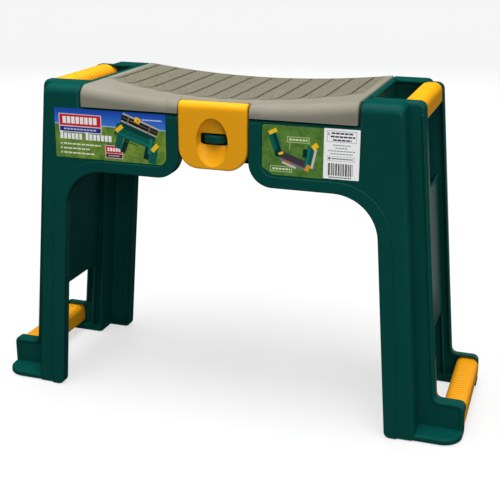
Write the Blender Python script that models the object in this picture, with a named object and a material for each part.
"""Garden kneeler seat: two moulded end frames, a tool bin between them, a dished lid with a
hinged latch flap, a foam kneeling pad under the bin, and four yellow grips.

Frame: metres, +Z up, the latch side faces -Y, the feet stand on Z = 0. The numbers below are
millimetres and are scaled once, when a mesh is made.
"""
import math

import bmesh
import bpy
import numpy as np

for obj in list(bpy.data.objects):
    bpy.data.objects.remove(obj, do_unlink=True)

# ---------------------------------------------------------------- driving sizes (mm)
HEIGHT = 420.0                      # top of the end frames
FRONT = 115.0                       # half depth, to the face of the raised rim
FACE = 113.5                        # half depth, to the recessed main face
WEB = 79.0                          # half distance between the set-back webs of one end
FASCIA_TOP, FASCIA_BOTTOM = 392.0, 311.0
GAP = 45.0                          # half width of the latch gap
ARCH_R = 56.0
WALL = 3.0
LID_END, LID_SKIRT = 177.0, 394.0
HINGE_Y, HINGE_Z = 114.4, 392.5     # lid axis
LATCH_Y, LATCH_Z = -109.5, 402.0    # latch axis
TOE_X, TOE_Z = 321.0, 45.0


def column_out(z):
    """Outer edge of the leg column: the legs splay outwards towards the floor."""
    return 265.5 - 36.0 * z / HEIGHT


def column_in(z):
    return 226.5 - 32.5 * z / HEIGHT


def web_out(z):
    return 288.5 - 40.5 * z / HEIGHT


# ---------------------------------------------------------------- mesh helpers
def arc(cx, cz, r, a0, a1, n):
    return [(cx + r * math.cos(math.radians(a0 + (a1 - a0) * i / n)),
             cz + r * math.sin(math.radians(a0 + (a1 - a0) * i / n))) for i in range(n + 1)]


def area(pts):
    return 0.5 * sum(a[0] * b[1] - b[0] * a[1] for a, b in zip(pts, pts[1:] + pts[:1]))


def inset(pts, d):
    """The outline moved inwards by d, vertex by vertex, with mitred corners."""
    pts = list(pts)
    sign = 1.0 if area(pts) > 0 else -1.0
    out = []
    for i, p in enumerate(pts):
        a, b = pts[i - 1], pts[(i + 1) % len(pts)]
        e0 = np.array([p[0] - a[0], p[1] - a[1]])
        e1 = np.array([b[0] - p[0], b[1] - p[1]])
        e0 /= np.linalg.norm(e0)
        e1 /= np.linalg.norm(e1)
        n0, n1 = sign * np.array([-e0[1], e0[0]]), sign * np.array([-e1[1], e1[0]])
        m = n0 + n1
        m /= max(np.linalg.norm(m), 1e-9)
        k = d / max(float(m @ n0), 0.35)
        out.append((p[0] + m[0] * k, p[1] + m[1] * k))
    return out


def solid(name, rings, place):
    """A closed mesh through rings of equal length; place maps (u, v, w) to xyz in mm."""
    n = len(rings[0][1])
    verts = [place(u, v, w) for w, ring in rings for u, v in ring]
    faces = [tuple(range(n))[::-1], tuple((len(rings) - 1) * n + i for i in range(n))]
    for k in range(len(rings) - 1):
        for i in range(n):
            j = (i + 1) % n
            faces.append((k * n + i, k * n + j, (k + 1) * n + j, (k + 1) * n + i))
    mesh = bpy.data.meshes.new(name)
    mesh.from_pydata([(x / 1000, y / 1000, z / 1000) for x, y, z in verts], [], faces)
    obj = bpy.data.objects.new(name, mesh)
    bpy.context.scene.collection.objects.link(obj)
    volume = 0.0
    mesh.calc_loop_triangles()
    for tri in mesh.loop_triangles:
        a, b, c = (np.array(mesh.vertices[i].co) for i in tri.vertices)
        volume += float(np.dot(a, np.cross(b, c)))
    if volume < 0:
        mesh.flip_normals()
    return obj


def along_y(name, pts, y0, y1):
    return solid(name, [(y0, pts), (y1, pts)], lambda u, v, w: (u, w, v))


def along_x(name, pts, x0, x1):
    return solid(name, [(x0, pts), (x1, pts)], lambda u, v, w: (w, u, v))


def along_z(name, pts, z0, z1):
    return solid(name, [(z0, pts), (z1, pts)], lambda u, v, w: (u, v, w))


def box(name, x0, x1, y0, y1, z0, z1):
    return along_z(name, [(x0, y0), (x1, y0), (x1, y1), (x0, y1)], z0, z1)


def rod(name, axis, c, r, a, b, n=20):
    ring = arc(c[0], c[1], r, 4, 364, n)[:-1]
    return {"x": along_x, "y": along_y, "z": along_z}[axis](name, ring, a, b)


def tidy(mesh):
    """Triangles only, with points that a Boolean left within a micron of each other merged."""
    work = bmesh.new()
    work.from_mesh(mesh)
    bmesh.ops.remove_doubles(work, verts=work.verts, dist=1e-6)
    bmesh.ops.triangulate(work, faces=work.faces)
    work.to_mesh(mesh)
    work.free()


def combine(base, others, operation):
    """Union or difference with the EXACT solver, applied at once; the operands are removed."""
    for other in others:
        mod = base.modifiers.new("b", "BOOLEAN")
        mod.operation, mod.solver, mod.object = operation, "EXACT", other
        graph = bpy.context.evaluated_depsgraph_get()
        made = bpy.data.meshes.new_from_object(base.evaluated_get(graph))
        base.modifiers.clear()
        tidy(made)
        old, base.data = base.data, made
        bpy.data.meshes.remove(old)
        bpy.data.objects.remove(other, do_unlink=True)
    return base


def join(base, *others):
    return combine(base, others, "UNION")


def cut(base, *others):
    return combine(base, others, "DIFFERENCE")


def mirrored(obj, name, axis):
    """A copy of the mesh mirrored in the plane across the axis (0 = x, 1 = y)."""
    mesh = obj.data.copy()
    for v in mesh.vertices:
        v.co[axis] = -v.co[axis]
    mesh.flip_normals()
    other = bpy.data.objects.new(name, mesh)
    bpy.context.scene.collection.objects.link(other)
    return other


# ---------------------------------------------------------------- end frame (right-hand one)
def tray_outline():
    """Front face of one half: fascia, leg and top block, seen from the front."""
    z_in = 256.0
    pts = [(GAP, FASCIA_TOP), (GAP, 341.0)]
    pts += arc(GAP + 30, 341, 30, 180, 270, 6)[1:]
    cx = column_in(z_in) - ARCH_R
    pts += arc(cx, FASCIA_BOTTOM - ARCH_R, ARCH_R, 90, 0, 10)
    pts += [(column_in(9), 9.0), (column_in(2) + 2.5, 2.0), (column_in(0) + 9, 0.0)]
    pts += [(column_out(0) - 4, 0.0), (column_out(4), 4.0)]
    pts += arc(column_out(HEIGHT) - 8.0, HEIGHT - 8.0, 8.0, 5, 90, 4)
    pts += [(178.2, HEIGHT), (178.2, FASCIA_TOP)]
    return pts


def rim_band():
    """The raised rim that follows the gap, the arch and the inner edge of the leg."""
    edge = [(GAP, 388.0), (GAP, 341.0)] + arc(GAP + 30, 341, 30, 180, 270, 6)[1:]
    cx = column_in(256.0) - ARCH_R
    edge += arc(cx, FASCIA_BOTTOM - ARCH_R, ARCH_R, 90, 0, 10)
    edge += [(column_in(9), 9.0)]
    inner = [(GAP + 16, 388.0), (GAP + 16, 343.0)] + arc(GAP + 34, 343, 18, 180, 270, 4)[1:]
    inner += arc(cx + 1, FASCIA_BOTTOM - ARCH_R, ARCH_R + 14.5, 90, 2, 10)
    inner += [(column_in(5) + 17, 5.0)]
    return inset(edge + inner[::-1], 0.5)


def end_frame(name):
    """One moulding: front and rear trays, webs, end panel, top deck, rails and toes."""
    outline = tray_outline()
    frame = solid(name, [(-FACE, inset(outline, 3.2)), (-FACE + 0.9, inset(outline, 1.2)),
                         (-FACE + 3.0, inset(outline, 0.2)), (-FACE + 4.5, outline),
                         (-103.0, outline)], lambda u, v, w: (u, w, v))
    hollow = inset(outline, WALL)
    cut(frame, along_y("hollow", hollow, -FACE + WALL, -101.0))
    join(frame, along_y("band", rim_band(), -FRONT, -FACE + 1.2))
    # outer side wall of the column, then the set-back web with the toe bracket at its foot
    side = [(column_out(3) - WALL - 0.5, 3.0), (column_out(3) - 0.15, 3.0),
            (column_out(415) - 0.15, 415.0), (column_out(415) - WALL - 0.5, 415.0)]
    join(frame, along_y("side", side, -110.0, -78.0))
    top_r = arc(web_out(HEIGHT) - 8, HEIGHT - 8.5, 8, 0, 90, 4)
    web = [(column_out(0) - WALL + 0.1, 0.15), (TOE_X, 0.15)]
    web += arc(TOE_X - 8, TOE_Z - 8, 8, 0, 90, 4)
    web += arc(web_out(TOE_Z) + 7, TOE_Z + 7, 7, 270, 180, 4)
    web += top_r + [(182.5, HEIGHT - 0.5), (182.5, 342.0), (column_out(342) - WALL + 0.1, 342.0)]
    join(frame, along_y("web", web, -WEB - 1.5, -WEB + 1.5))
    # toe flange: the rounded foot in front of the bracket
    flange = [(column_out(0) - 6, -112.0)] + [(294.0, -112.0)]
    flange += arc(TOE_X - 26.1, -86.0, 26.0, 270, 360, 6)[1:]
    flange += [(TOE_X - 0.1, -78.2), (column_out(0) - 6, -78.2)]
    join(frame, along_z("flange", flange, 0.0, 9.0))
    # screw bosses behind the fascia and in the hand well
    join(frame, rod("boss", "y", (72.0, 352.0), 4.6, -FACE + 2, -100.4, 14))
    cut(frame, rod("pilot", "y", (72.0, 352.0), 1.8, -109.5, -99.0, 12))
    # the rear half is the same moulding the other way round
    rear = mirrored(frame, "rear", 1)
    # hinge knuckles stand on the rear fascia only
    for x in (96.2, 124.9):
        join(rear, rod("knuckle", "x", (HINGE_Y, HINGE_Z), 3.4, x, x + 8.0, 16))
    cut(rear, box("notch", 104.1, 125.0, 106.0, 119.0, 388.4, 400.0))
    cut(rear, rod("bore", "x", (HINGE_Y, HINGE_Z), 1.8, 95.0, 132.0, 14))
    # top deck with the hand hole open to the grip side
    deck = box("deck", 178.3, column_out(HEIGHT) - 2.0, -108.0, 108.0, HEIGHT - WALL - 0.4, HEIGHT - 0.25)
    cut(deck, along_z("hand", [(185.0, -78.0), (300.0, -78.0), (300.0, 78.0), (185.0, 78.0)], 400, 440))
    join(frame, deck)
    join(frame, box("inboard", 182.0, 185.1, -106.0, 106.0, 335.0, HEIGHT - 1.5))
    join(frame, rear)
    # end panel, set back from the edges of the webs, with the arch between the legs
    panel = [(web_out(0) - 13, 0.3), (web_out(0) - 10, 0.3), (web_out(299) - 10, 299.0),
             (web_out(299) - 13, 299.0)]
    panel = along_y("panel", panel, -WEB + 0.5, WEB - 0.5)
    arch = [(-68.0, -5.0), (68.0, -5.0)] + arc(53, 97, 15, 0, 90, 4) + arc(-53, 97, 15, 90, 180, 4)
    cut(panel, along_x("arch", arch, 240.0, 300.0))
    join(frame, panel)
    join(frame, box("top_rail", 221.5, 243.5, -WEB + 0.5, WEB - 0.5, 397.0, 416.0))
    join(frame, box("foot_rail", 297.0, 316.0, -WEB + 0.5, WEB - 0.5, 13.0, 34.0))
    for y in (-60.0, 60.0):
        join(frame, rod("boss", "x", (y, 366.0), 4.6, 184.0, 191.0, 14))
        cut(frame, rod("pilot", "x", (y, 366.0), 1.8, 180.0, 190.0, 12))
    return frame


right = end_frame("end_frame_right")
# the other end is the mirror image
left = mirrored(right, "end_frame_left", 0)

# ---------------------------------------------------------------- tool bin
bin_ = box("tool_bin", -181.5, 181.5, -100.0, 100.0, 335.0, 390.6)
cut(bin_, box("c", -179.0, 179.0, -97.5, 97.5, 348.5, 400.0),
    box("c", -179.0, 179.0, -97.5, 97.5, 320.0, 346.0))
for s in (-1, 1):
    for y in (-60.0, 60.0):
        cut(bin_, rod("c", "x", (y, 366.0), 1.9, 178.0 * s, 183.0 * s, 12))
    for y in (-1, 1):
        cut(bin_, rod("c", "y", (72.0 * s, 352.0), 1.9, 96.0 * y, 101.5 * y, 12))
cut(bin_, box("c", -8.4, 8.4, -102.0, -96.0, 360.6, 367.4))

# ---------------------------------------------------------------- foam kneeling pad
pad = solid("kneeling_pad", [(333.0, [(-173, -91.5), (173, -91.5), (173, 91.5), (-173, 91.5)]),
                             (337.0, [(-177, -95.5), (177, -95.5), (177, 95.5), (-177, 95.5)]),
                             (345.7, [(-177, -95.5), (177, -95.5), (177, 95.5), (-177, 95.5)])],
            lambda u, v, w: (u, v, w))


# ---------------------------------------------------------------- lid
def lid_top(x):
    return 409.0 + 12.0 * (x / LID_END) ** 2


def lid_ring(x, d, low):
    """Cross-section of the lid at x, inset by d, as (y, z) points."""
    r, top = 14.0 - d, lid_top(x) - d
    cy = FRONT - 14.0
    ring = [(-cy - r, low)] + arc(-cy, top - r, r, 180, 90, 5) + [(-40.0, top), (40.0, top)]
    return ring + arc(cy, top - r, r, 90, 0, 5) + [(cy + r, low)]


stations = [-LID_END, -175.8, -172.5] + [x * 172.5 / 7 for x in range(-6, 7)] + [172.5, 175.8, LID_END]
drop = {-LID_END: 3.0, -175.8: 0.9, 175.8: 0.9, LID_END: 3.0}
rings = [(x, [(y * (1 - 0.010 * drop.get(x, 0)), z - (drop.get(x, 0) if z > LID_SKIRT + 1 else 0))
              for y, z in lid_ring(x, 0.0, LID_SKIRT)]) for x in stations]
lid = solid("lid", rings, lambda u, v, w: (w, u, v))
inner = [-174.3] + [x * 174.3 / 7 for x in range(-6, 7)] + [174.3]
cut(lid, solid("c", [(x, lid_ring(x, 2.6, 380.0)) for x in inner], lambda u, v, w: (w, u, v)))
# ribs under the top, the latch notch and its lugs, the raised rear edge and its knuckles
for x, z in ((-140.0, 414.5), (-70.0, 409.3), (70.0, 409.3), (140.0, 414.5)):
    join(lid, box("r", x - 1.0, x + 1.0, -99.0, 99.0, 399.0, z))
cut(lid, box("c", -46.0, 46.0, -125.0, -101.4, 385.0, 420.0))
for s in (-1, 1):
    lug = [(-113.6, 398.0), (-104.0, 396.0), (-104.0, 406.5), (-110.0, 406.2), (-113.2, 404.0)]
    a, b = sorted((45.9 * s, 53.0 * s))
    join(lid, along_x("lug", lug, a, b))
cut(lid, rod("c", "x", (LATCH_Y, LATCH_Z), 1.6, -51.5, 51.5, 14))
cut(lid, box("c", -190.0, 190.0, 108.0, 125.0, 380.0, 397.2))
for s in (-1, 1):
    a, b = sorted((104.5 * s, 124.5 * s))
    join(lid, rod("k", "x", (HINGE_Y, HINGE_Z), 3.4, a, b, 16))
    join(lid, box("k", a + 0.2, b - 0.2, 112.6, 116.4, 393.0, 400.0))
cut(lid, rod("c", "x", (HINGE_Y, HINGE_Z), 1.8, -131.0, 131.0, 14))

# ---------------------------------------------------------------- latch flap
flap = [(-44.0, 402.0), (-44.0, 352.0)] + arc(-20, 352, 24, 180, 270, 6)[1:]
flap += arc(20, 352, 24, 270, 360, 6) + [(44.0, 402.0)]
latch = solid("latch_flap", [(-117.8, inset(flap, 2.6)), (-116.9, inset(flap, 0.8)), (-115.0, flap),
                             (-107.5, flap)], lambda u, v, w: (u, w, v))
cut(latch, along_y("c", inset(flap[:-1] + [(44.0, 402.0)], 2.6), -115.0, -100.0))


def oval(cx, cz, hw, hh):
    return arc(cx, cz + hh - hw, hw, 0, 180, 8) + arc(cx, cz - hh + hw, hw, 180, 360, 8)


join(latch, along_y("cup", oval(0, 362, 23.0, 31.5), -116.2, -109.6))
cut(latch, along_y("c", oval(0, 362, 20.5, 29.0), -120.0, -112.0))
cut(latch, box("c", -18.0, 18.0, -114.0, -100.0, 356.6, 372.2))
join(latch, rod("barrel", "x", (LATCH_Y, LATCH_Z), 6.9, -44.0, 44.0, 24))
cut(latch, rod("c", "x", (LATCH_Y, LATCH_Z), 1.6, -46.0, 46.0, 14))
pin = rod("latch_pin", "x", (LATCH_Y, LATCH_Z), 1.25, -51.0, 51.0, 14)
for side, s in (("left", -1), ("right", 1)):
    a, b = sorted((96.8 * s, 131.4 * s))
    rod("hinge_pin_" + side, "x", (HINGE_Y, HINGE_Z), 1.5, a, b, 14)

# ---------------------------------------------------------------- catch tongue of the bin
lens = [(-16.0, -100.4), (16.0, -100.4), (16.0, -104.0)] + arc(0, -97.4, 17.3, -25, -155, 8)
lens += [(-16.0, -104.0)]
tongue = along_z("catch_tongue", lens, 359.4, 369.4)
join(tongue, box("n", -8.0, 8.0, -101.0, -96.5, 361.0, 367.0),
     box("n", -12.0, 12.0, -97.1, -95.0, 357.5, 370.5))


# ---------------------------------------------------------------- yellow grips
def sleeve(name, x0, x1, z0, z1, r_in, r_out, cavity, inner_low):
    """A channel clipped down over a rail of the end frame, open along its underside."""
    ring = [(x0, inner_low), (cavity[0], inner_low), (cavity[0], cavity[2]),
            (cavity[1], cavity[2]), (cavity[1], z0), (x1 - 2, z0), (x1, z0 + 2)]
    ring += arc(x1 - r_out, z1 - r_out, r_out, 0, 90, 5) + arc(x0 + r_in, z1 - r_in, r_in, 90, 180, 4)
    return along_y(name, ring, -WEB + 1.8, WEB - 1.8)


top_grip = sleeve("top_grip_right", 217.0, 247.6, 393.0, 419.8, 4.0, 9.0, (221.2, 243.8, 416.3), 397.0)
mirrored(top_grip, "top_grip_left", 0)
foot_grip = sleeve("foot_grip_right", 291.6, 321.6, 9.5, 40.0, 8.0, 8.0, (296.7, 316.3, 34.3), 9.5)
mirrored(foot_grip, "foot_grip_left", 0)


# ---------------------------------------------------------------- screws
def screw(name, axis, c, seat, tip):
    """Pan-head screw: head towards the bin's inside, shank out to the tip, cross recess."""
    way = 1 if tip > seat else -1
    a, b = sorted((seat - 2.4 * way, seat))
    body = rod(name, axis, c, 3.3, a, b, 16)
    a, b = sorted((seat - 0.5 * way, tip))
    join(body, rod("s", axis, c, 1.5, a, b, 12))
    a, b = sorted((seat - 3.0 * way, seat - 1.2 * way))
    for w, h in ((2.2, 0.4), (0.4, 2.2)):
        if axis == "x":
            cut(body, box("c", a, b, c[0] - w, c[0] + w, c[1] - h, c[1] + h))
        else:
            cut(body, box("c", c[0] - w, c[0] + w, a, b, c[1] - h, c[1] + h))
    return body


for side, s in (("left", -1), ("right", 1)):
    for end, e in (("front", -1), ("rear", 1)):
        screw("end_screw_%s_%s" % (side, end), "x", (60.0 * e, 366.0), 178.7 * s, 188.5 * s)
        screw("fascia_screw_%s_%s" % (side, end), "y", (72.0 * s, 352.0), 97.2 * e, 108.5 * e)

# ---------------------------------------------------------------- stick-on labels
label = [(-215.0, 327.5), (-84.0, 327.5)] + arc(-84, 339.5, 12, 270, 360, 4)[1:] + [(-62.0, 391.0), (-215.0, 391.0)]
along_y("label_left", label, -FACE - 0.7, -FACE - 0.3)
label = [(76.0, 328.0), (137.4, 328.0), (137.4, 388.5), (62.5, 388.5), (62.5, 337.0)]
along_y("label_picture", label, -FACE - 0.7, -FACE - 0.3)
along_y("label_plain", [(138.0, 329.0), (181.0, 329.0), (181.0, 389.0), (138.0, 389.0)],
        -FACE - 0.7, -FACE - 0.3)
